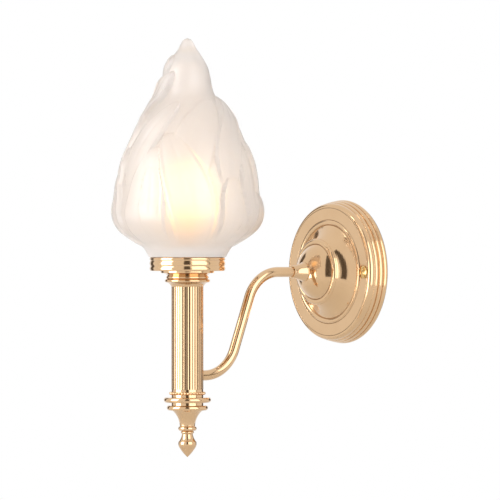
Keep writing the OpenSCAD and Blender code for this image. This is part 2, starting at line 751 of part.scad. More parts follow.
// The flame's outline at a share of its height: the valley and the highest tongue at each angle.
function flame_ring(h, n) =
    let (r = valley_r(h), near = [for (tongue = tongues) if (h > tongue[1] && h < tongue[3]) tongue])
    [for (i = [0:n - 1])
        r + tongue_relief * max([0, for (tongue = near) tongue_rise(tongue, i * 360 / n, h, r)])];

// The glass is one piece on the real light. It is parted here at a level seam below the lowest tongue,
// so that the round neck is a true revolve and the lumpy flame a skin of facets that stands on it.
module glass_neck() {
    steps = 5;
    seam_h = [for (i = [0:steps]) i / steps * neck_top_h];
    color(frosted) at_torch() rotate_extrude() polygon(concat(
        [[glass_neck_r, neck_foot], [glass_neck_r, flame_foot - loose_gap]],
        [for (h = seam_h) [valley_r(h), flame_foot + h * flame_h]],
        [[valley_r(neck_top_h) - glass_wall, neck_top_z], [neck_inner_r, flame_foot],
         [neck_inner_r, neck_foot]]));
}

// Flame outside and hollow inside as one closed skin. The hollow has half as many sides.
module glass_shade() {
    n = flame_sides;
    m = n / 2;
    function turn_point(r, angle, z) = [r * cos(angle), r * sin(angle), z];
    outer_rings = [for (row = [0:flame_rows - 1])
        let (h = neck_top_h + row / flame_rows * (1 - neck_top_h), ring = flame_ring(h, n))
        [for (i = [0:n - 1]) turn_point(ring[i], i * 360 / n, flame_foot + h * flame_h)]];
    inner_rings = [for (row = [0:inner_rows - 1])
        let (h = neck_top_h + row / inner_rows * (inner_top - neck_top_h))
        [for (j = [0:m - 1])
            turn_point(max(tip_bore_r, valley_r(h) - glass_wall), j * 360 / m, flame_foot + h * flame_h)]];
    points = concat([for (ring = outer_rings) each ring], [for (ring = inner_rings) each ring],
                    [[0, 0, flame_foot + flame_h], [0, 0, flame_foot + inner_top * flame_h]]);
    inner_base = flame_rows * n;
    apex = inner_base + inner_rows * m;
    faces = concat(
        [for (k = [0:flame_rows - 2], i = [0:n - 1])
            let (a = k * n + i, b = k * n + (i + 1) % n) each [[a, b + n, b], [a, a + n, b + n]]],
        [for (i = [0:n - 1]) let (k = (flame_rows - 1) * n) [k + i, apex, k + (i + 1) % n]],
        [for (k = [0:inner_rows - 2], j = [0:m - 1])
            let (a = inner_base + k * m + j, b = inner_base + k * m + (j + 1) % m)
            each [[a, b, b + m], [a, b + m, a + m]]],
        [for (j = [0:m - 1]) let (k = inner_base + (inner_rows - 1) * m)
            [k + j, k + (j + 1) % m, apex + 1]],
        [for (j = [0:m - 1])
            let (a = inner_base + j, b = inner_base + (j + 1) % m,
                 p = 2 * j, q = 2 * j + 1, r = (2 * j + 2) % n)
            each [[a, p, q], [a, q, b], [b, q, r]]]);
    color(frosted) at_torch() rotate(flame_turn) polyhedron(points, faces);
}

// Threaded ring bonded round the glass neck.
module shade_ring() {
    color(brass) at_torch() translate([0, 0, neck_foot]) difference() {
        cylinder(r = gallery_r - gallery_wall - loose_gap, h = shade_ring_h);
        translate([0, 0, -1]) cylinder(r = glass_neck_r + fit_gap, h = shade_ring_h + 2);
    }
}

// Flat silicone ring on the gallery's floor.
module shade_seal() {
    seal_r = glass_neck_r + 0.5;
    color("#e8e8e6") at_torch() translate([0, 0, cup_floor + fit_gap]) difference() {
        cylinder(r = seal_r, h = neck_foot - cup_floor - 2 * fit_gap);
        translate([0, 0, -1]) cylinder(r = seal_r - 4, h = 4);
    }
}

// ---------------------------------------------------------------- wiring behind the plate

// Three-way terminal block on the bracket. Each way has a wire hole above and a clamp screw in front.
module terminal_block() {
    size = block_size;
    color("#f4f2ea") translate([-size.x / 2, -bracket_wall - size.y, block_z]) difference() {
        cube(size);
        for (i = [0:2]) translate([(i + 0.5) * size.x / 3, 0, 0]) {
            translate([0, -1, size.z / 2]) rotate([-90, 0, 0]) cylinder(r = terminal_screw_r, h = 5);
            translate([0, size.y / 2, size.z - wire_hole_depth])
                cylinder(r = wire_hole_r, h = wire_hole_depth + 1);
        }
    }
}

module terminal_screws() {
    size = block_size;
    color(steel) for (i = [0:2])
        translate([(i + 0.5) * size.x / 3 - size.x / 2, -bracket_wall - size.y + 4, block_z + size.z / 2])
            rotate([90, 0, 0]) cylinder(r = terminal_screw_r, h = 2.4);
}

module earth_screw() {
    color(brass) from_wall() translate([0, earth_z, 0.2]) {
        cylinder(r = stud_r, h = bracket_wall + 1);
        translate([0, 0, bracket_wall + 0.8]) cylinder(r = screw_head_r, h = screw_head_t + 0.2);
    }
}

module earth_washer() {
    color(steel) from_wall() translate([0, earth_z, bracket_wall]) difference() {
        cylinder(r = 4.6, h = 1);
        translate([0, 0, -1]) cylinder(r = stud_r, h = 3);
    }
}

// Twisted pair from the terminal block, through the arm and the block, up to the lampholder.
module lamp_leads() {
    tail_start_d = bracket_wall + block_size.y / 2 + lead_tail_r;
    color("#f2f2f0") {
        arm_run(lead_r, lead_turn_r, tail_start_d);
        translate([0, -tail_start_d, lead_tail_r]) rotate([0, 90, 0])
            rotate_extrude(angle = 90) translate([lead_tail_r, 0]) circle(lead_r);
        translate([0, -tail_start_d + lead_tail_r, lead_tail_r]) cylinder(r = lead_r, h = block_z - lead_tail_r);
        at_torch() translate([0, lead_turn_r, -arm_rise + lead_turn_r]) rotate([0, 90, 0])
            rotate_extrude(angle = -90) translate([lead_turn_r, 0]) circle(lead_r);
        at_torch() translate([0, 0, -arm_rise + lead_turn_r])
            cylinder(r = lead_r, h = arm_rise - lead_turn_r + cup_floor + holder_base_t - 1);
    }
}

wall_bracket();
bracket_screws();
lock_nuts();
backplate();
cap_nut_left();
cap_nut_right();
dome_cap();
clamp_disc();
clamp_washer();
clamp_nut();
arm_ferrule();
arm_tube();
arm_block();
column();
tie_tube();
tie_stud();
capital();
gallery_cup();
base_collar();
base_flange();
bell_cup();
washer_ring();
finial();
lampholder_body();
lampholder_shell();
lampholder_contact();
bulb_glass();
bulb_cap();
bulb_contact();
glass_neck();
glass_shade();
shade_ring();
shade_seal();
terminal_block();
terminal_screws();
earth_screw();
earth_washer();
lamp_leads();
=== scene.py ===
from math import asin, atan2, cos, degrees, exp, hypot, pi, radians, sin, sqrt

import bmesh
import bpy
from mathutils import Matrix, Vector


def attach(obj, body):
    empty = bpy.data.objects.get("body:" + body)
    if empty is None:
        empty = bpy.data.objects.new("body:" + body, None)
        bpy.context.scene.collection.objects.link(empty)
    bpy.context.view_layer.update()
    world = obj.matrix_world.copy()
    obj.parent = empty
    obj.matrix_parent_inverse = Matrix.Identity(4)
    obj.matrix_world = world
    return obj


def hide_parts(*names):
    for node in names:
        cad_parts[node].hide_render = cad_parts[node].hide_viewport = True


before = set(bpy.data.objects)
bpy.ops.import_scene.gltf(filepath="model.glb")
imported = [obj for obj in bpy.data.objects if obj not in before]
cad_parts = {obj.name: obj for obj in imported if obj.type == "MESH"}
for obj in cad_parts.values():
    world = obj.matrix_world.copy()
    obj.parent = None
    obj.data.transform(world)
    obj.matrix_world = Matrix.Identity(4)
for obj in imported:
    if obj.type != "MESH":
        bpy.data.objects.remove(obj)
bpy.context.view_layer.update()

# ---------------------------------------------------------------- camera
# The photograph is taken from 54 degrees to the right of face on, level with the top of the column, with
# a long lens from nearly three metres away.
MM = 0.001
view_angle = radians(54.1)
aim = Vector((29.9, -119.6, 18.3)) * MM
camera_distance = 2.8

lens = bpy.data.cameras.new("camera")
lens.sensor_width = 36
lens.lens = 247
lens.clip_start = 0.1
lens.clip_end = 30
camera = bpy.data.objects.new("camera", lens)
camera.location = aim + camera_distance * Vector((sin(view_angle), -cos(view_angle), 0))
camera.rotation_euler = (pi / 2, 0, view_angle)
bpy.context.scene.collection.objects.link(camera)
bpy.context.scene.camera = camera
bpy.context.scene.view_settings.view_transform = "Standard"


# ---------------------------------------------------------------- studio
# White surroundings and two large soft boxes either side of the camera, whose bright cloths only polished
# metal and glass mirror. Grey flags draw narrow darker lines down it. A pale round floor catches the shadow.
def paint(hex_colour):
    """sRGB hex to a linear colour with alpha."""
    shares = [int(hex_colour[i:i + 2], 16) / 255 for i in (1, 3, 5)]
    return [s / 12.92 if s <= 0.04045 else ((s + 0.055) / 1.055) ** 2.4 for s in shares] + [1]


def add_node(tree, kind, inputs=(), **settings):
    """Adds a shader node.

    settings are the node's own, and inputs gives each socket a value or another node's output."""
    node = tree.nodes.new("ShaderNode" + kind)
    for setting, value in settings.items():
        setattr(node, setting, value)
    for socket, value in dict(inputs).items():
        if isinstance(value, bpy.types.NodeSocket):
            tree.links.new(value, node.inputs[socket])
        else:
            node.inputs[socket].default_value = value
    return node


def start_material(name):
    """A new material with its node tree and its main shader."""
    material = bpy.data.materials.new(name)
    material.use_nodes = True
    return material, material.node_tree, material.node_tree.nodes["Principled BSDF"]


room = bpy.data.worlds.new("studio")
bpy.context.scene.world = room
room.use_nodes = True
tree = room.node_tree
# The room is pure white where it is seen, mirrored or seen through the glass, and a little less bright to
# what is matt.
rays = add_node(tree, "LightPath")
seen = add_node(tree, "Math", {0: rays.outputs["Is Camera Ray"], 1: rays.outputs["Is Glossy Ray"]},
                operation="MAXIMUM")
seen = add_node(tree, "Math", {0: seen.outputs[0], 1: rays.outputs["Is Transmission Ray"]},
                operation="MAXIMUM")
level = add_node(tree, "MapRange", {"Value": seen.outputs[0], "To Min": 0.78, "To Max": 1.0})
tree.links.new(level.outputs[0], tree.nodes["Background"].inputs["Strength"])
tree.nodes["Background"].inputs["Color"].default_value = paint("#FFFFFF")


# The torch's axis stands this far out from the wall, in millimetres as all sizes of the light are.
torch_out = 161


def from_camera(turn, distance, height):
    """A place in the studio, turned round the torch from the camera's direction, to the right if positive."""
    angle = view_angle + turn
    return Vector((0, -torch_out * MM, height)) + distance * Vector((sin(angle), -cos(angle), 0))


# Both soft boxes are equally far from the torch, equally high and equally tall. The studio's sizes are in
# metres.
box_left, box_right = radians(-67), radians(39)
box_distance, box_height, box_tall = 1.5, 0.15, 2.0


def soft_box(name, turn, width, radiance):
    """An area light that faces the torch."""
    box = bpy.data.lights.new(name, "AREA")
    box.shape = "RECTANGLE"
    box.size = width
    box.size_y = box_tall
    box.energy = radiance * pi * width * box_tall
    lamp = bpy.data.objects.new(name, box)
    lamp.location = from_camera(turn, box_distance, box_height)
    facing = Vector((0, -torch_out * MM, 0)) - lamp.location
    lamp.rotation_euler = facing.to_track_quat("-Z", "Y").to_euler()
    lamp.visible_camera = lamp.visible_glossy = False
    bpy.context.scene.collection.objects.link(lamp)


soft_box("soft_box_left", box_left, width=1.1, radiance=2.2)
soft_box("soft_box_right", box_right, width=1.3, radiance=1.3)


def panel(name, turn, distance, width, tall, cloth):
    """An upright sheet that only reflections see."""
    mesh = bmesh.new()
    place = from_camera(turn, distance, 0.0)
    facing = (Vector((0, -torch_out * MM, 0)) - place).to_track_quat("Z", "Y").to_matrix().to_4x4()
    bmesh.ops.create_grid(mesh, x_segments=1, y_segments=1, size=0.5)
    bmesh.ops.scale(mesh, vec=(width, tall, 1), verts=mesh.verts)
    bmesh.ops.transform(mesh, matrix=Matrix.Translation(place) @ facing, verts=mesh.verts)
    sheet = bpy.data.meshes.new(name)
    mesh.to_mesh(sheet)
    mesh.free()
    sheet.materials.append(cloth)
    board = bpy.data.objects.new(name, sheet)
    board.visible_camera = board.visible_diffuse = board.visible_shadow = board.visible_transmission = False
    bpy.context.scene.collection.objects.link(board)


# Grey felt: soaks up most of the light.
flag_cloth, tree, shader = start_material("grey_felt")
fuzz = add_node(tree, "TexNoise", {"Scale": 400.0, "Detail": 4.0})
tone = add_node(tree, "Mix", {0: fuzz.outputs[0], "A": paint("#605A55"), "B": paint("#6A645E")},
                data_type="RGBA")
tree.links.new(tone.outputs["Result"], shader.inputs["Base Color"])
shader.inputs["Roughness"].default_value = 1.0
shader.inputs["Specular IOR Level"].default_value = 0.0

flag_distance, flag_tall, rear_flag_tall = 1.2, 5.0, 1.4
panel("flag_camera", 0.0, flag_distance, 0.42, flag_tall, flag_cloth)
panel("flag_right", radians(71), flag_distance, 0.06, flag_tall, flag_cloth)
panel("flag_rear_left", radians(-136), flag_distance, 0.45, rear_flag_tall, flag_cloth)
panel("flag_rear_right", radians(141), flag_distance, 0.58, rear_flag_tall, flag_cloth)


def lit_cloth(name, radiance):
    """White nylon over a soft box, lit from behind, with the faint unevenness of its weave."""
    cloth, tree, shader = start_material(name)
    place = add_node(tree, "TexCoord")
    weave = add_node(tree, "TexNoise", {"Vector": place.outputs["Object"], "Scale": 8.0, "Detail": 2.0})
    level = add_node(tree, "MapRange", {"Value": weave.outputs[0], "To Min": 0.9 * radiance,
                                        "To Max": radiance})
    tree.links.new(level.outputs[0], shader.inputs["Emission Strength"])
    shader.inputs["Emission Color"].default_value = paint("#FFFFFF")
    shader.inputs["Base Color"].default_value = paint("#F4F4F4")
    shader.inputs["Roughness"].default_value = 0.9
    return cloth


cloth_tall = 3.0
panel("soft_box_cloth_left", box_left, box_distance, 1.0, cloth_tall, lit_cloth("bright_soft_box_nylon", 4.8))
panel("soft_box_cloth_right", box_right, box_distance, 1.3, cloth_tall, lit_cloth("soft_box_nylon", 1.9))

floor_radius, fade_start, fade_end = 0.75, 0.15, 0.73
floor_middle = Vector((0, -0.1, -0.25))
mesh = bmesh.new()
bmesh.ops.create_circle(mesh, cap_ends=True, segments=96, radius=floor_radius,
                        matrix=Matrix.Translation(floor_middle))
paper = bpy.data.meshes.new("floor")
mesh.to_mesh(paper)
mesh.free()
floor = bpy.data.objects.new("floor", paper)
bpy.context.scene.collection.objects.link(floor)

# Seamless white paper: matt, and faded into the white of the room towards its edge.
floor_paper, tree, shader = start_material("white_paper_floor")
place = add_node(tree, "TexCoord")
centred = add_node(tree, "Mapping", {"Vector": place.outputs["Object"], "Location": -floor_middle})
reach = add_node(tree, "VectorMath", {0: centred.outputs[0]}, operation="LENGTH")
fade = add_node(tree, "MapRange", {"Value": reach.outputs["Value"], "From Min": fade_start,
                                   "From Max": fade_end}, interpolation_type="SMOOTHSTEP")
grain = add_node(tree, "TexNoise", {"Vector": place.outputs["Object"], "Scale": 600.0, "Detail": 4.0})
tone = add_node(tree, "Mix", {0: grain.outputs[0], "A": paint("#F0F0EE"), "B": paint("#F4F4F2")},
                data_type="RGBA")
tree.links.new(tone.outputs["Result"], shader.inputs["Base Color"])
shader.inputs["Roughness"].default_value = 0.95
shader.inputs["Specular IOR Level"].default_value = 0.1
bright = add_node(tree, "Emission", {"Color": paint("#FFFFFF"), "Strength": 1.0})
blend = add_node(tree, "MixShader", {0: fade.outputs[0], 1: shader.outputs[0], 2: bright.outputs[0]})
tree.links.new(blend.outputs[0], tree.nodes["Material Output"].inputs["Surface"])
paper.materials.append(floor_paper)


# ---------------------------------------------------------------- wall bracket, its screws and lock nuts
# A pressed steel strap that is screwed flat to the wall, with two machine screws through its joggled ends.
# Cut and pressed from mild steel strip, then bright zinc plated.
def dress(material, slot, *nodes):
    """Gives CAD nodes their material."""
    for node in nodes:
        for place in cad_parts[node].material_slots:
            place.material = material


# Bright zinc on rolled steel: cool grey, with blotches of spangle about 4 mm across and fine rolling lines.
zinc_plated_steel, tree, shader = start_material("zinc_plated_steel")
place = add_node(tree, "TexCoord")
spangle = add_node(tree, "TexVoronoi", {"Vector": place.outputs["Object"], "Scale": 250.0})
bloom = add_node(tree, "TexNoise", {"Vector": place.outputs["Object"], "Scale": 120.0, "Detail": 4.0})
mottle = add_node(tree, "Math", {0: spangle.outputs["Distance"], 1: bloom.outputs[0]}, operation="MULTIPLY")
tone = add_node(tree, "Mix", {0: mottle.outputs[0], "A": paint("#BFC3C8"), "B": paint("#A9ACAE")},
                data_type="RGBA")
gloss = add_node(tree, "MapRange", {"Value": bloom.outputs[0], "To Min": 0.28, "To Max": 0.42})
grain = add_node(tree, "Mapping", {"Vector": place.outputs["Object"], "Scale": (150, 3000, 3000)})
lines = add_node(tree, "TexNoise", {"Vector": grain.outputs[0], "Scale": 1.0, "Detail": 2.0})
dents = add_node(tree, "Bump", {"Height": lines.outputs[0], "Strength": 0.15, "Distance": 0.0001})
tree.links.new(tone.outputs["Result"], shader.inputs["Base Color"])
tree.links.new(gloss.outputs[0], shader.inputs["Roughness"])
tree.links.new(dents.outputs[0], shader.inputs["Normal"])
shader.inputs["Metallic"].default_value = 1.0
dress(zinc_plated_steel, "plated_steel", "wall_bracket", "bracket_screws", "lock_nuts", "clamp_disc",
      "clamp_washer", "earth_washer", "tie_tube", "tie_stud")


# ---------------------------------------------------------------- wall plate
# Spun from sheet brass over a chuck: four ribs round the rim, a flat face, a raised ring and a hollow cone.
# Polished bright and lacquered, as all the brass that shows.
def bow(start, end, sag, count=8):
    """Points along a shallow curve that stands off the straight line by sag, to the right of its way."""
    start, end = Vector(start), Vector(end)
    way = end - start
    side = Vector((way.y, -way.x)).normalized()
    return [start + way * t + side * sag * 4 * t * (1 - t) for t in [i / count for i in range(count + 1)]]


def arc(centre, radius, first, last, count=8):
    """Points of a circle, from one angle to another in degrees."""
    turns = [radians(first + (last - first) * i / count) for i in range(count + 1)]
    return [Vector((centre[0] + radius * cos(t), centre[1] + radius * sin(t))) for t in turns]


def rib(crown_radius, start, end, crown, count=10):
    """Points round the outside of a rounded rib, whose crown stands at crown_radius."""
    half = abs(end - start) / 2
    round_radius = (half * half + crown * crown) / (2 * crown)
    spread = degrees(asin(min(1, half / round_radius)))
    sign = 1 if end > start else -1
    return arc((crown_radius - round_radius, (start + end) / 2), round_radius, -sign * spread, sign * spread,
               count)


# Rings sharper than soft_angle are softened, and what is then left sharper than sharp_angle is shaded sharp.
# A straight part longer than held_length is held flat by a point at held_end from each of its ends. The
# painted groove shade fades out at groove_reach from the floor of a groove.
soft_angle, sharp_angle = radians(33), radians(38)
held_length, held_end, groove_reach = 1.2, 0.25, 0.4


def finished(name, mesh):
    """A smooth-shaded object of a bmesh, with its faces turned outwards."""
    bmesh.ops.recalc_face_normals(mesh, faces=mesh.faces)
    skin = bpy.data.meshes.new(name)
    mesh.to_mesh(skin)
    mesh.free()
    skin.shade_smooth()
    skin.set_sharp_from_angle(angle=sharp_angle)
    piece = bpy.data.objects.new(name, skin)
    bpy.context.scene.collection.objects.link(piece)
    return piece


def turned(name, outline, steps=160, to_wall=False, closed=True, edge=0.12, grooves=()):
    """Spins an outline of [radius, height] points in millimetres, and softens its sharp rings.

    The height is measured up the torch's axis, or out from the wall with to_wall. The points in grooves
    are the floors of fine grooves, round which the brass is painted darker as shade."""
    held = []
    for start, end in zip(outline, outline[1:] + (outline[:1] if closed else [])):
        start, end = Vector(start), Vector(end)
        length = (end - start).length
        held.append(start)
        if length > held_length:
            held += [start.lerp(end, held_end / length), end.lerp(start, held_end / length)]
    if not closed:
        held.append(Vector(outline[-1]))
    mesh = bmesh.new()
    groove_shade = mesh.verts.layers.float.new("painted_groove_shade")
    chain = [mesh.verts.new((r * MM, -z * MM, 0) if to_wall else (r * MM, 0, z * MM)) for r, z in held]
    rings = [mesh.edges.new(pair) for pair in zip(chain, chain[1:] + (chain[:1] if closed else []))]
    bmesh.ops.spin(mesh, geom=chain + rings, cent=(0, 0, 0), axis=(0, 1, 0) if to_wall else (0, 0, 1),
                   angle=2 * pi, steps=steps, use_merge=True)
    bmesh.ops.remove_doubles(mesh, verts=mesh.verts, dist=1e-6)
    if edge:
        sharp = [e for e in mesh.edges if len(e.link_faces) == 2 and e.calc_face_angle() > soft_angle]
        bmesh.ops.bevel(mesh, geom=sharp, offset=edge * MM, offset_type="OFFSET", affect="EDGES", segments=2,
                        profile=0.5, material=-1, clamp_overlap=True)
    # Corners near a groove's floor are marked so that the brass there is painted darker, as shade.
    if grooves:
        for corner in mesh.verts:
            x, y, z = corner.co / MM
            spot = Vector((hypot(x, z), -y) if to_wall else (hypot(x, y), z))
            nearest = min((spot - Vector(floor)).length for floor in grooves)
            corner[groove_shade] = max(0, 1 - nearest / groove_reach)
    if not to_wall:
        bmesh.ops.translate(mesh, vec=(0, -torch_out * MM, 0), verts=mesh.verts)
    return finished(name, mesh)


def fit(piece, material, slot, body, *nodes):
    """Finishes a piece, lets it ride on its body and stand for its CAD nodes."""
    piece.data.materials.append(material)
    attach(piece, body)
    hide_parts(*nodes)


plate_radius, flat_radius, plate_depth, sheet_wall = 60.4, 54.2, 17.0, 1.5
ring_radius, ring_bead, ring_crown = 41.5, 1.9, 0.95
cone_top, cone_depth, cone_hole = 27.8, 29.0, 10.0
rim_back, front_rib, front_round = 55.6, 5.1, 3.4
rim_ribs, rib_crown, cone_bow = 3, 0.8, 1.1
rib_depth = (plate_depth - front_rib) / rim_ribs
ring_round = (ring_bead ** 2 + ring_crown ** 2) / (2 * ring_crown)
ring_half_turn = degrees(asin(ring_bead / ring_round))
ring_outside, ring_inside = ring_radius + ring_bead, ring_radius - ring_bead

# Fine grooves, painted darker as shade: one just inside the face's edge, and one on either side of the ring.
edge_line, edge_groove, edge_groove_half = flat_radius - 0.5, 0.35, 0.3
ring_groove, ring_groove_half = 0.4, 0.25
grooves = [(edge_line, plate_depth - edge_groove),
           (ring_outside + ring_groove_half, plate_depth - ring_groove),
           (ring_inside - ring_groove_half, plate_depth - ring_groove)]

# From the rim's back edge, in to the cone's hole and back inside the sheet. Each of the rim's ribs is
# smaller than the one behind it.
outline = [(rim_back, 0)]
for i in range(rim_ribs):
    outline += rib(plate_radius - 0.6 * i - 0.11 * i * i, i * rib_depth, (i + 1) * rib_depth, rib_crown)
outline += [(flat_radius + front_round, plate_depth - front_rib)]
outline += arc((flat_radius, plate_depth - front_round), front_round, 0, 90)
outline += [(edge_line + edge_groove_half, plate_depth), grooves[0],
            (edge_line - edge_groove_half, plate_depth)]
outline += [(ring_outside + 2 * ring_groove_half, plate_depth), grooves[1]]
outline += arc((ring_radius, plate_depth + ring_crown - ring_round), ring_round,
               90 - ring_half_turn, 90 + ring_half_turn, 12)
outline += [grooves[2]]
cone = bow((cone_top, cone_depth), (ring_inside - 2 * ring_groove_half, plate_depth), cone_bow, 12)
outline += cone[::-1] + [(cone_hole, cone_depth), (cone_hole, cone_depth - sheet_wall)]
outline += [point - Vector((0, sheet_wall)) for point in cone] + [(rim_back, plate_depth - sheet_wall)]
brass_plate = turned("brass_wall_plate", outline, steps=192, to_wall=True, grooves=grooves)

# Lacquered polished brass: warm tan where it mirrors white, with a faint clouding of the polish about 15 mm
# across. The buffing marks, hair-fine and drawn 1.4 mm across so that they show, blur its reflections a
# little. Its grooves are painted dark brown as shade, and made duller.
polished_brass, tree, shader = start_material("lacquered_polished_brass")
place = add_node(tree, "TexCoord")
cloud = add_node(tree, "TexNoise", {"Vector": place.outputs["Object"], "Scale": 65.0, "Detail": 3.0})
tone = add_node(tree, "Mix", {0: cloud.outputs[0], "A": paint("#DEBA90"), "B": paint("#D5AF84")},
                data_type="RGBA")
# Painted shade: corners marked near a groove's floor are drawn dark brown and a little rougher.
groove_shade = add_node(tree, "Attribute", attribute_name="painted_groove_shade")
tone = add_node(tree, "Mix", {0: groove_shade.outputs["Fac"], "A": tone.outputs["Result"], "B": paint("#4C3B26")},
                data_type="RGBA")
smear = add_node(tree, "TexNoise", {"Vector": place.outputs["Object"], "Scale": 700.0, "Detail": 5.0})
gloss = add_node(tree, "MapRange", {"Value": smear.outputs[0], "To Min": 0.08, "To Max": 0.15})
gloss = add_node(tree, "Math", {0: groove_shade.outputs["Fac"], 1: 0.3, 2: gloss.outputs[0]},
                 operation="MULTIPLY_ADD")
buffing = add_node(tree, "Bump", {"Height": smear.outputs[0], "Strength": 0.04, "Distance": 0.0001})
tree.links.new(tone.outputs["Result"], shader.inputs["Base Color"])
tree.links.new(gloss.outputs[0], shader.inputs["Roughness"])
tree.links.new(buffing.outputs[0], shader.inputs["Normal"])
shader.inputs["Metallic"].default_value = 1.0
shader.inputs["Coat Weight"].default_value = 0.5
shader.inputs["Coat Roughness"].default_value = 0.05
fit(brass_plate, polished_brass, "polished_brass", "frame", "backplate")


# ---------------------------------------------------------------- cap nuts
# Two low domed nuts at 3 and 9 o'clock that hold the plate on the bracket's screws.
# Turned from brass rod and polished, a little yellower than the spun sheet.
nut_radius, nut_height, nut_crown, nut_offset = 5.3, 2.4, 1.4, 48.8
shank_radius, shank_length = 3.2, 7
nut_round = (nut_radius ** 2 + nut_crown ** 2) / (2 * nut_crown)
half_turn = degrees(asin(nut_radius / nut_round))
nut_base = plate_depth + 0.05

# Yellow brass rod, turned and polished: bright, with a faint clouding of the polish about 5 mm across.
turned_brass, tree, shader = start_material("turned_yellow_brass")
place = add_node(tree, "TexCoord")
cloud = add_node(tree, "TexNoise", {"Vector": place.outputs["Object"], "Scale": 200.0, "Detail": 3.0})
tone = add_node(tree, "Mix", {0: cloud.outputs[0], "A": paint("#DDBB80"), "B": paint("#D2AE70")},
                data_type="RGBA")
gloss = add_node(tree, "MapRange", {"Value": cloud.outputs[0], "To Min": 0.1, "To Max": 0.17})
tree.links.new(tone.outputs["Result"], shader.inputs["Base Color"])
tree.links.new(gloss.outputs[0], shader.inputs["Roughness"])
shader.inputs["Metallic"].default_value = 1.0
for side, x in (("left", -nut_offset), ("right", nut_offset)):
    outline = [(0, nut_base - shank_length), (shank_radius, nut_base - shank_length)]
    outline += [(shank_radius, nut_base), (nut_radius, nut_base)]
    outline += arc((0, nut_base + nut_height - nut_round), nut_round, 90 - half_turn, 90, 10)
    nut = turned("cap_nut_" + side + "_turned", outline, steps=64, to_wall=True, closed=False, edge=0.15)
    nut.data.transform(Matrix.Translation((x * MM, 0, 0)))
    fit(nut, turned_brass, "nut_brass", side + "_cap_nut", "cap_nut_" + side)


# ---------------------------------------------------------------- dome, ferrule and clamp
# A spun dome on a rounded foot seats on the cone, and a turned ferrule stands on it round the arm.
# The disc, washer and nut behind draw the arm, ferrule and dome tight.
dome_radius, dome_inside, arm_radius = 27.6, 26.4, 4.25
foot_radius, foot_height, foot_seat, foot_edge, foot_bow = 23.0, 2.2, 2.4, 0.7, 1.1
foot_groove, foot_groove_out = 0.4, 0.3
foot_depth = cone_depth + foot_height
dome_centre = foot_depth - sqrt(dome_radius ** 2 - foot_radius ** 2)

outline = [(foot_radius - foot_seat, cone_depth)]
outline += bow((cone_top, cone_depth), (foot_radius + foot_edge, foot_depth), foot_bow, 10)
# A fine groove round the foot, where the brass is painted darker as shade.
grooves = [(foot_radius + foot_groove_out, foot_depth - foot_groove)]
outline += grooves
outline += arc((0, dome_centre), dome_radius, degrees(asin((foot_depth - dome_centre) / dome_radius)),
               90 - degrees(asin(arm_radius / dome_radius)), 36)
outline += arc((0, dome_centre), dome_inside, 90 - degrees(asin(arm_radius / dome_inside)),
               degrees(asin((foot_depth - dome_centre) / dome_inside)), 30)
dome = turned("spun_dome", outline, steps=160, to_wall=True, grooves=grooves)
fit(dome, polished_brass, "polished_brass", "frame", "dome_cap")

ferrule_radius, nose_radius, ferrule_length = 8.2, 5.5, 13.0
band, band_step, band_edge = 1.0, 0.4, 0.5
ferrule_depth = dome_centre + sqrt(dome_radius ** 2 - ferrule_radius ** 2)
nose_depth = ferrule_depth + ferrule_length
outline = arc((0, dome_centre), dome_radius, 90 - degrees(asin(arm_radius / dome_radius)),
              90 - degrees(asin(ferrule_radius / dome_radius)), 4)
outline += [(ferrule_radius, ferrule_depth + band)]
outline += bow((ferrule_radius - band_step, ferrule_depth + band + band_edge),
               (nose_radius, nose_depth - band_edge), -0.5, 10)
outline += [(nose_radius - band_step, nose_depth), (arm_radius, nose_depth)]
ferrule = turned("turned_ferrule", outline, steps=96, to_wall=True)
fit(ferrule, polished_brass, "polished_brass", "frame", "arm_ferrule")

# Raw brass, as it comes off the lathe or press: duller, with a brown bloom in patches about 5 mm across.
raw_brass, tree, shader = start_material("raw_brass")
place = add_node(tree, "TexCoord")
bloom = add_node(tree, "TexNoise", {"Vector": place.outputs["Object"], "Scale": 180.0, "Detail": 5.0})
tone = add_node(tree, "Mix", {0: bloom.outputs[0], "A": paint("#CDA869"), "B": paint("#A98350")},
                data_type="RGBA")
gloss = add_node(tree, "MapRange", {"Value": bloom.outputs[0], "To Min": 0.28, "To Max": 0.45})
tree.links.new(tone.outputs["Result"], shader.inputs["Base Color"])
tree.links.new(gloss.outputs[0], shader.inputs["Roughness"])
shader.inputs["Metallic"].default_value = 1.0
dress(raw_brass, "raw_brass", "clamp_nut", "arm_block", "shade_ring", "earth_screw")


# ---------------------------------------------------------------- arm
# A swan-neck of drawn brass tube, bent twice through 70 degrees. Its lower end goes into the column, its
# upper end through the ferrule and dome.
arm_rise, bend_radius, bend_angle, bend_steps = 84.4, 31.0, radians(70.4), 32
# The lower end and its bend's start are measured out from the torch's axis, the upper end from the wall.
arm_start, arm_foot, arm_end, arm_wall = 4.0, 17.7, 17.5, 1.0
slope = (arm_rise - 2 * bend_radius * (1 - cos(bend_angle))) / sin(bend_angle)


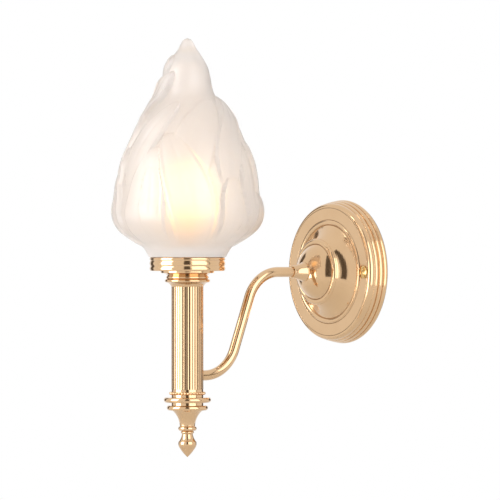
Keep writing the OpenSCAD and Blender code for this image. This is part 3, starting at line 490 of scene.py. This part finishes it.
def swept_arm(name):
    """The tube along the arm's line: a ring is drawn out and turned round the bends, then given its wall."""
    mesh = bmesh.new()
    ring = bmesh.ops.create_circle(mesh, segments=48, radius=arm_radius * MM)["verts"]
    bmesh.ops.rotate(mesh, cent=(0, 0, 0), matrix=Matrix.Rotation(pi / 2, 3, "X"), verts=ring)
    bmesh.ops.translate(mesh, vec=(0, (arm_start - torch_out) * MM, -arm_rise * MM), verts=ring)
    place = Vector((0, (arm_foot - torch_out) * MM, -arm_rise * MM))
    heading = Vector((0, 1, 0))
    edges = list(mesh.edges)

    def straight(length, steps):
        nonlocal edges
        for _ in range(steps):
            grown = bmesh.ops.extrude_edge_only(mesh, edges=edges)["geom"]
            corners = [g for g in grown if isinstance(g, bmesh.types.BMVert)]
            edges = [g for g in grown if isinstance(g, bmesh.types.BMEdge)
                     and all(v in corners for v in g.verts)]
            bmesh.ops.translate(mesh, vec=heading * length * MM / steps, verts=corners)

    def bend(centre, angle):
        nonlocal edges, heading
        corners = list({v for e in edges for v in e.verts})
        grown = bmesh.ops.spin(mesh, geom=corners + edges, cent=centre, axis=(1, 0, 0), angle=angle,
                               steps=bend_steps)
        edges = [g for g in grown["geom_last"] if isinstance(g, bmesh.types.BMEdge)]
        heading = Matrix.Rotation(angle, 3, "X") @ heading

    straight(arm_foot - arm_start, 2)
    bend(place + Vector((0, 0, bend_radius * MM)), bend_angle)
    straight(slope, 3)
    run = 2 * bend_radius * sin(bend_angle) + slope * cos(bend_angle)
    top = Vector((0, (arm_foot - torch_out + run) * MM, 0))
    bend(top - Vector((0, 0, bend_radius * MM)), -bend_angle)
    straight(-arm_end - top.y / MM, 4)
    bmesh.ops.remove_doubles(mesh, verts=mesh.verts, dist=1e-7)
    bmesh.ops.recalc_face_normals(mesh, faces=mesh.faces)
    bmesh.ops.solidify(mesh, geom=mesh.faces[:], thickness=arm_wall * MM)
    return finished(name, mesh)


arm = swept_arm("swan_neck_arm")
fit(arm, polished_brass, "polished_brass", "frame", "arm_tube")


# ---------------------------------------------------------------- column
# The torch's handle: a brass tube drawn through a die that gives it 32 low reeds with sharp grooves between,
# which are painted darker as shade. The capital and the collar cover its ends.
column_radius, column_bore, reeds = 13.06, 10.9, 32
column_top, column_bottom = -11.6, -95.3
reed_steps, reed_crown, groove_depth, groove_edge = 16, 0.2, 1.2, 0.38

mesh = bmesh.new()
groove_shade = mesh.verts.layers.float.new("painted_groove_shade")
around = reeds * reed_steps
bmesh.ops.create_circle(mesh, segments=around, radius=column_bore * MM)
outside = bmesh.ops.create_circle(mesh, segments=around, radius=column_radius * MM)["verts"]
for corner in outside:
    # off runs from 0 at the crown of a reed to 0.5 midway to the next one.
    off = abs((degrees(atan2(corner.co.y, corner.co.x)) * reeds / 360 + 0.5) % 1 - 0.5)
    in_groove = off > groove_edge
    drop = groove_depth if in_groove else reed_crown * (2 * off) ** 2
    # Corners in a groove are marked so that the brass there is painted dark, as shade.
    corner[groove_shade] = in_groove
    corner.co *= 1 - drop / column_radius
rings = list(mesh.edges)
bmesh.ops.bridge_loops(mesh, edges=rings)
lower = mesh.faces[:]
grown = bmesh.ops.extrude_face_region(mesh, geom=lower)["geom"]
upper = [g for g in grown if isinstance(g, bmesh.types.BMVert)]
bmesh.ops.translate(mesh, vec=(0, 0, (column_top - column_bottom) * MM), verts=upper)
bmesh.ops.translate(mesh, vec=(0, -torch_out * MM, column_bottom * MM), verts=mesh.verts)
column = finished("reeded_column", mesh)
fit(column, polished_brass, "polished_brass", "frame", "column")


# ---------------------------------------------------------------- capital
# The stem under the gallery: a disc, a cove, two beads and a second cove down to the column, with a spigot
# into it. Turned from brass bar and polished.
stem_top, disc_thick, stem_bore, spigot = 1.3, 1.7, 5, 3
disc_radius, bead_radius, cove_top, cove_foot = 22.1, 18.6, 16.8, 13.26
bead_top, bead_middle, bead_bottom = stem_top - 3.9, stem_top - 6.7, stem_top - 9.5
outline = [(stem_bore, stem_top), (disc_radius, stem_top), (disc_radius - 0.3, stem_top - disc_thick)]
outline += bow((disc_radius - 1.1, stem_top - disc_thick - 0.2), (cove_top - 0.2, bead_top), 0.6, 10)
outline += rib(bead_radius - 1.1, bead_top, bead_middle, 0.9)
outline += rib(bead_radius, bead_middle, bead_bottom, 1.1)
outline += bow((cove_top, bead_bottom), (cove_foot, column_top), 0.5, 10)
outline += [(column_bore, column_top), (column_bore, column_top - spigot), (stem_bore, column_top - spigot)]
capital = turned("turned_capital", outline, steps=160)
fit(capital, polished_brass, "polished_brass", "frame", "capital")


# ---------------------------------------------------------------- gallery
# A spun and rolled cup with three ribs that takes the shade's threaded ring.
# Its rolled rim stands just under the glass.
gallery_radius, gallery_height, gallery_crown, gallery_wall = 31.0, 11.0, 0.5, 1.2
gallery_inside, gallery_floor = gallery_radius - gallery_wall, stem_top + gallery_wall
rib_ends = [stem_top + share * gallery_height for share in (0, 0.345, 0.76, 1)]
outline = [(stem_bore, stem_top)]
for low, high in zip(rib_ends, rib_ends[1:]):
    outline += rib(gallery_radius, low, high, gallery_crown)
outline += [(gallery_inside, stem_top + gallery_height), (gallery_inside, gallery_floor)]
outline += [(stem_bore, gallery_floor)]
gallery = turned("ribbed_gallery", outline, steps=192)
fit(gallery, polished_brass, "polished_brass", "frame", "gallery_cup")


# ---------------------------------------------------------------- base of the torch
# Under the column: a collar with a row of small beads, two turned rings with a waist between them, a
# hollow-sided bell, a washer ring and a pointed finial that screws on the rod and draws all of it tight.
collar_bottom, stud_radius = -101.9, 3.0
outline = [(stud_radius, collar_bottom), (column_radius, collar_bottom), (column_radius, column_bottom),
           (column_bore, column_bottom), (column_bore, column_bottom + spigot),
           (stud_radius, column_bottom + spigot)]
collar = turned("beaded_collar", outline, steps=128)
beads, bead_size, bead_circle, bead_height = 34, 1.22, 13.76, column_bottom - 3.3
mesh = bmesh.new()
mesh.from_mesh(collar.data)
for i in range(beads):
    turn = 2 * pi * i / beads
    spot = Matrix.Translation((bead_circle * MM * cos(turn), bead_circle * MM * sin(turn) - torch_out * MM,
                               bead_height * MM))
    bmesh.ops.create_uvsphere(mesh, u_segments=18, v_segments=12, radius=bead_size * MM, matrix=spot)
mesh.to_mesh(collar.data)
mesh.free()
collar.data.shade_smooth()
collar.data.set_sharp_from_angle(angle=sharp_angle)
fit(collar, polished_brass, "polished_brass", "frame", "base_collar")

flange_radius, waist_radius = 19.4, 13.1
flange_bottom, waist_bottom = collar_bottom - 4.1, collar_bottom - 6.7
outline = [(stud_radius, collar_bottom)] + rib(flange_radius, collar_bottom, flange_bottom, 1.2)
outline += [(waist_radius, flange_bottom), (waist_radius, waist_bottom), (stud_radius, waist_bottom)]
flange = turned("turned_flange", outline, steps=144)
fit(flange, polished_brass, "polished_brass", "frame", "base_flange")

bell_radius, bell_top, bell_bottom, bell_neck, bell_sweep = 16.9, -112.3, -125.7, 6.3, 16.8
outline = [(stud_radius, waist_bottom)] + rib(bell_radius, waist_bottom, bell_top, 0.9)
outline += arc((bell_neck + bell_sweep, bell_bottom), bell_sweep,
               180 - degrees(asin((bell_top - bell_bottom) / bell_sweep)), 180, 16)
outline += [(stud_radius, bell_bottom)]
bell = turned("turned_bell", outline, steps=128)
fit(bell, polished_brass, "polished_brass", "frame", "bell_cup")

washer_radius, washer_bottom = 7.6, -129.0
outline = [(stud_radius, bell_bottom)] + rib(washer_radius, bell_bottom, washer_bottom, 0.8)
outline += [(stud_radius, washer_bottom)]
washer = turned("turned_washer_ring", outline, steps=96)
fit(washer, polished_brass, "polished_brass", "frame", "washer_ring")

bud, neck, tip = 7.5, 4.5, -150.8
cove_end, swell, swell_end = washer_bottom - 2.8, washer_bottom - 3.2, washer_bottom - 9.2
belly, belly_end, point = washer_bottom - 9.8, washer_bottom - 12.6, washer_bottom - 12.9
outline = [(0, washer_bottom)] + bow((neck, washer_bottom), (neck, cove_end), -0.9, 10)
outline += bow((neck, swell), (bud - 0.1, swell_end), 0.5, 10)
outline += bow((bud, belly), (bud - 0.2, belly_end), -0.1, 6)
outline += bow((bud - 0.3, point), (0, tip), -0.5, 14)
finial = turned("turned_finial", outline, steps=96, closed=False)
fit(finial, polished_brass, "polished_brass", "frame", "finial")


# ---------------------------------------------------------------- lampholder and lamp
# A glazed ceramic holder with a brass screw shell, and an opal golf-ball lamp with a nickelled cap.
# The lamp is lit: it is seen only as a glow through the frosted flame.

# Glazed white ceramic: a smooth clear glaze over a slightly speckled body.
glazed_ceramic, tree, shader = start_material("glazed_white_ceramic")
place = add_node(tree, "TexCoord")
speck = add_node(tree, "TexNoise", {"Vector": place.outputs["Object"], "Scale": 900.0, "Detail": 3.0})
tone = add_node(tree, "Mix", {0: speck.outputs[0], "A": paint("#F1EDE3"), "B": paint("#E6E1D4")},
                data_type="RGBA")
tree.links.new(tone.outputs["Result"], shader.inputs["Base Color"])
shader.inputs["Roughness"].default_value = 0.15
shader.inputs["IOR"].default_value = 1.52
dress(glazed_ceramic, "white_ceramic", "lampholder_body")
dress(raw_brass, "raw_brass", "lampholder_shell", "lampholder_contact", "bulb_contact")

# Nickel plate on the lamp's thin pressed cap: warm grey, slightly dull.
nickel_plate, tree, shader = start_material("nickel_plated_cap")
place = add_node(tree, "TexCoord")
smear = add_node(tree, "TexNoise", {"Vector": place.outputs["Object"], "Scale": 500.0, "Detail": 4.0})
tone = add_node(tree, "Mix", {0: smear.outputs[0], "A": paint("#CFCBC3"), "B": paint("#BEB9B0")},
                data_type="RGBA")
gloss = add_node(tree, "MapRange", {"Value": smear.outputs[0], "To Min": 0.2, "To Max": 0.32})
tree.links.new(tone.outputs["Result"], shader.inputs["Base Color"])
tree.links.new(gloss.outputs[0], shader.inputs["Roughness"])
shader.inputs["Metallic"].default_value = 1.0
dress(nickel_plate, "nickel_cap", "bulb_cap")

# The throat stands in the cap and widens to the globe, which it meets below the globe's middle: shoulder_out
# and shoulder_down are shares of the globe's radius.
globe_radius, globe_height, throat_radius, throat_foot = 22.5, 63.5, 6.8, 30.0
shoulder_out, shoulder_down = 0.62, 0.785
outline = [(0, throat_foot)]
outline += bow((throat_radius, throat_foot),
               (globe_radius * shoulder_out, globe_height - globe_radius * shoulder_down), -1.2, 10)
outline += arc((0, globe_height), globe_radius, 2 - degrees(asin(shoulder_down)), 90, 40)
globe = turned("opal_lamp_globe", outline, steps=96, closed=False, edge=0)

# Opal glass that is lit from inside: pale yellow where the lamp burns, deepening to amber towards the neck.
lit_opal, tree, shader = start_material("lit_opal_glass")
place = add_node(tree, "TexCoord")
height = add_node(tree, "SeparateXYZ", {"Vector": place.outputs["Object"]})
warmth = add_node(tree, "MapRange", {"Value": height.outputs["Z"], "From Min": 0.032, "From Max": 0.062},
                  interpolation_type="SMOOTHSTEP")
glow = add_node(tree, "Mix", {0: warmth.outputs[0], "A": paint("#B98040"), "B": paint("#FFDD9E")},
                data_type="RGBA")
tree.links.new(glow.outputs["Result"], shader.inputs["Emission Color"])
shader.inputs["Emission Strength"].default_value = 2.5
shader.inputs["Base Color"].default_value = paint("#4A4030")
shader.inputs["Roughness"].default_value = 0.3
shader.inputs["IOR"].default_value = 1.5
fit(globe, lit_opal, "lamp_glass", "lamp", "bulb_glass")


# ---------------------------------------------------------------- glass flame
# One blown flame of overlapping glass tongues on a plain neck, its outside frosted with acid.
# The neck is bonded into a threaded ring that screws into the gallery over a silicone seal.
flame_foot, flame_height, neck_foot = 12.6, 178.5, 3.8
neck_radius, neck_wall, glass_wall, hollow_top, flame_turn = 28.3, 3, 2.6, 0.92, -35.0
neck_step, least_hollow = 0.3, 0.8
around, rows, inner_rows = 360, 216, 30

# Radius of the valleys between the tongues: [share of the height, radius].
valleys = [(0, 31.4), (0.025, 34), (0.043, 36.2), (0.06, 40.6), (0.078, 45.4), (0.114, 53.4),
           (0.151, 57.8), (0.187, 59.4), (0.224, 59.3), (0.279, 57.2), (0.352, 55.4), (0.425, 52.6),
           (0.498, 47.8), (0.535, 44.6), (0.59, 40), (0.635, 35.4), (0.699, 27.4), (0.736, 22.8),
           (0.772, 20.4), (0.827, 18.6), (0.864, 16.8), (0.9, 13.6), (0.93, 10.2), (0.955, 7.1),
           (0.975, 5.4), (0.99, 3.7), (0.997, 2.1), (1, 0)]

# Glass tongues: angle and height of the foot, angle and height of the tip, hook, half-width and relief.
# Those of the front are repeated half a turn on at the back; those of the sides are not.
front_tongues = [
    (6, 0.06, -19.5, 0.56, 2.4, 21.5, 6.2),
    (-46, 0.06, -29.5, 0.50, 1.4, 16, 4.0),
    (-29, 0.07, -29.5, 0.43, 1.2, 12, 5.2),
    (-54, 0.32, -18, 0.705, 2.4, 13, 5.4),
    (4, 0.34, 38, 0.72, 3, 19, 4.6),
    (38, 0.33, 82, 0.735, 2.4, 14, 7.4),
    (37, 0.06, 39, 0.37, 1, 11.5, 5.4),
    (62, 0.13, 58, 0.54, 1.5, 10, 4.4)]
side_tongues = [
    (78, 0.05, 78, 0.295, 1, 15, 4.6),
    (92, 0.20, 88, 0.545, 1, 14, 4.6),
    (88, 0.44, 90, 0.655, 1, 11, 3.6),
    (-78, 0.05, -86, 0.39, 1, 18, 4.8),
    (-86, 0.22, -82, 0.52, 1, 13, 4),
    (-96, 0.36, -76, 0.72, 1.6, 14, 4.4),
    (-84, 0.56, -40, 0.845, 2.5, 10, 8.4),
    (-88, 0.80, -76, 0.925, 1, 8.5, 4.5)]
rear_tongues = [(foot + 180, low, tip + 180, *rest) for foot, low, tip, *rest in front_tongues]
tongues = front_tongues + rear_tongues + side_tongues

# Each tongue is thickest at a rounded lip near its edge and has a shallow fold down its middle: the height
# of its body, lip and fold as shares of its relief, and their place and width as shares of its half-width.
body_height, lip_height, lip_place, lip_width = 0.84, 0.32, 0.84, 0.09
fold_depth, fold_width = 0.07, 0.1

# The share of its full width that a tongue has at its foot, and of its length at which it is widest.
foot_width, widest = 0.6, 0.45


def valley_radius(share):
    """Smooth curve through the valleys' points."""
    i = max([k for k in range(len(valleys) - 1) if valleys[k][0] <= share or k == 0])
    before, low = valleys[max(i - 1, 0)], valleys[i]
    high, after = valleys[i + 1], valleys[min(i + 2, len(valleys) - 1)]
    span = high[0] - low[0]
    t = (share - low[0]) / span
    chord = (high[1] - low[1]) / span
    slope_low = chord if i == 0 else (high[1] - before[1]) / (high[0] - before[0])
    slope_high = chord if i == len(valleys) - 2 else (after[1] - low[1]) / (after[0] - low[0])
    return max(0, (1 + 2 * t) * (1 - t) ** 2 * low[1] + t * (1 - t) ** 2 * span * slope_low
               + t * t * (3 - 2 * t) * high[1] + t * t * (t - 1) * span * slope_high)


def tongue_rise(tongue, angle, share, radius):
    """How far one tongue stands out of the valley."""
    foot, foot_share, tip, tip_share, hook, width, relief = tongue
    t = (share - foot_share) / (tip_share - foot_share)
    if not 0 < t < 1:
        return 0
    middle = foot + (tip - foot) * t ** hook
    if t < widest:
        taper = foot_width + (1 - foot_width) * sin(pi / 2 * t / widest)
    else:
        taper = cos(pi / 2 * (t - widest) / (1 - widest)) ** 0.5
    across = abs(radians((angle - middle + 180) % 360 - 180) * radius / (width * taper))
    if across >= 1:
        return 0
    lip = lip_height * exp(-((across - lip_place) / lip_width) ** 2)
    fold = fold_depth * exp(-(across / fold_width) ** 2)
    return relief * sqrt(t * (1 - t ** 8)) * ((body_height + lip - fold) * sqrt(1 - across ** 5))


# The glass in profile without its tongues: from the tip down the outside, round the foot of the neck and up
# the hollow.
profile = [(0, flame_foot + flame_height)]
outside = [row / rows for row in range(rows - 1, -1, -1)]
profile += [(valley_radius(share), flame_foot + share * flame_height) for share in outside]
profile += [(neck_radius, flame_foot - neck_step), (neck_radius, neck_foot)]
profile += [(neck_radius - neck_wall, neck_foot), (neck_radius - neck_wall, flame_foot)]
hollow = [row / inner_rows * hollow_top for row in range(1, inner_rows)]
profile += [(max(least_hollow, valley_radius(share) - glass_wall), flame_foot + share * flame_height)
            for share in hollow]
profile += [(0, flame_foot + hollow_top * flame_height)]

# The outside's corners are marked, spun with the rest and then pushed out by the tallest tongue there.
mesh = bmesh.new()
mark = mesh.verts.layers.int.new("outer")
chain = [mesh.verts.new((r * MM, 0, z * MM)) for r, z in profile]
rings = [mesh.edges.new(pair) for pair in zip(chain, chain[1:])]
for corner in chain[1:rows + 1]:
    corner[mark] = 1
bmesh.ops.spin(mesh, geom=chain + rings, cent=(0, 0, 0), axis=(0, 0, 1), angle=2 * pi, steps=around,
               use_merge=True)
bmesh.ops.remove_doubles(mesh, verts=mesh.verts, dist=1e-7)
levels = {}
for corner in mesh.verts:
    if corner[mark] and corner.co.xy.length > 1e-6:
        share = (corner.co.z / MM - flame_foot) / flame_height
        key = round(share, 6)
        if key not in levels:
            levels[key] = valley_radius(share), [t for t in tongues if t[1] < share < t[3]]
        radius, near = levels[key]
        angle = degrees(atan2(corner.co.y, corner.co.x))
        rise = max([tongue_rise(t, angle, share, radius) for t in near], default=0)
        corner.co.xy *= (radius + rise) / radius
bmesh.ops.rotate(mesh, cent=(0, 0, 0), matrix=Matrix.Rotation(radians(flame_turn), 3, "Z"),
                 verts=mesh.verts)
bmesh.ops.translate(mesh, vec=(0, -torch_out * MM, 0), verts=mesh.verts)
flame = finished("frosted_glass_flame", mesh)

# Acid-frosted blown glass: satin white, lets light through but no image, and cloudier in its thick neck. The
# etch's grain is about 0.3 mm, drawn at 0.6 mm so that it shows. Faint waves from blowing are 12 mm across.
frosted_glass, tree, shader = start_material("acid_frosted_glass")
place = add_node(tree, "TexCoord")
etch = add_node(tree, "TexNoise", {"Vector": place.outputs["Object"], "Scale": 1600.0, "Detail": 2.0})
waves = add_node(tree, "TexNoise", {"Vector": place.outputs["Object"], "Scale": 80.0, "Detail": 2.0})
tone = add_node(tree, "Mix", {0: waves.outputs[0], "A": paint("#FFFAF6"), "B": paint("#FBF3ED")},
                data_type="RGBA")
gloss = add_node(tree, "MapRange", {"Value": etch.outputs[0], "To Min": 0.38, "To Max": 0.48})
ripple = add_node(tree, "Bump", {"Height": waves.outputs[0], "Strength": 0.15, "Distance": 0.001})
tooth = add_node(tree, "Bump", {"Height": etch.outputs[0], "Normal": ripple.outputs[0], "Strength": 0.08,
                                "Distance": 0.0002})
tree.links.new(tone.outputs["Result"], shader.inputs["Base Color"])
tree.links.new(gloss.outputs[0], shader.inputs["Roughness"])
tree.links.new(tooth.outputs[0], shader.inputs["Normal"])
height = add_node(tree, "SeparateXYZ", {"Vector": place.outputs["Object"]})
clear = add_node(tree, "MapRange", {"Value": height.outputs["Z"], "From Min": 0.012, "From Max": 0.034,
                                    "To Min": 0.4, "To Max": 0.8})
tree.links.new(clear.outputs[0], shader.inputs["Transmission Weight"])
shader.inputs["IOR"].default_value = 1.5
shader.inputs["Coat Weight"].default_value = 0.25
shader.inputs["Coat Roughness"].default_value = 0.25
fit(flame, frosted_glass, "frosted_glass", "shade", "glass_shade", "glass_neck")

# Silicone rubber: milky, soft and faintly dusty.
silicone, tree, shader = start_material("milky_silicone_rubber")
place = add_node(tree, "TexCoord")
dust = add_node(tree, "TexNoise", {"Vector": place.outputs["Object"], "Scale": 700.0, "Detail": 4.0})
tone = add_node(tree, "Mix", {0: dust.outputs[0], "A": paint("#E9E9E6"), "B": paint("#DEDEDA")},
                data_type="RGBA")
tree.links.new(tone.outputs["Result"], shader.inputs["Base Color"])
shader.inputs["Roughness"].default_value = 0.55
shader.inputs["Subsurface Weight"].default_value = 0.3
shader.inputs["Subsurface Radius"].default_value = (0.002, 0.002, 0.002)
dress(silicone, "silicone", "shade_seal")


# ---------------------------------------------------------------- wiring behind the plate
# A three-way nylon terminal block with plated clamp screws, and twisted leads in white sleeving that run
# through the arm, the block and the rod up to the lampholder.

# Nylon 66, injection moulded: ivory, with a fine eroded texture from the mould, drawn at 0.7 mm so that it
# shows.
moulded_nylon, tree, shader = start_material("moulded_nylon")
place = add_node(tree, "TexCoord")
texture = add_node(tree, "TexNoise", {"Vector": place.outputs["Object"], "Scale": 1500.0, "Detail": 3.0})
tone = add_node(tree, "Mix", {0: texture.outputs[0], "A": paint("#F5F2E9"), "B": paint("#ECE8DC")},
                data_type="RGBA")
pits = add_node(tree, "Bump", {"Height": texture.outputs[0], "Strength": 0.2, "Distance": 0.0001})
tree.links.new(tone.outputs["Result"], shader.inputs["Base Color"])
tree.links.new(pits.outputs[0], shader.inputs["Normal"])
shader.inputs["Roughness"].default_value = 0.5
dress(moulded_nylon, "nylon", "terminal_block")
dress(zinc_plated_steel, "plated_steel", "terminal_screws")

# Braided glass-fibre sleeving over the twisted leads: white, with the braid's strands drawn about 2 mm apart
# so that they show.
fibre_sleeve, tree, shader = start_material("braided_glass_fibre_sleeve")
place = add_node(tree, "TexCoord")
strands = add_node(tree, "TexWave", {"Vector": place.outputs["Object"], "Scale": 160.0, "Distortion": 1.0},
                   bands_direction="DIAGONAL")
tone = add_node(tree, "Mix", {0: strands.outputs["Fac"], "A": paint("#F4F3EF"), "B": paint("#DAD8D1")},
                data_type="RGBA")
weave = add_node(tree, "Bump", {"Height": strands.outputs["Fac"], "Strength": 0.3, "Distance": 0.0002})
tree.links.new(tone.outputs["Result"], shader.inputs["Base Color"])
tree.links.new(weave.outputs[0], shader.inputs["Normal"])
shader.inputs["Roughness"].default_value = 0.7
dress(fibre_sleeve, "wire_sleeve", "lamp_leads")
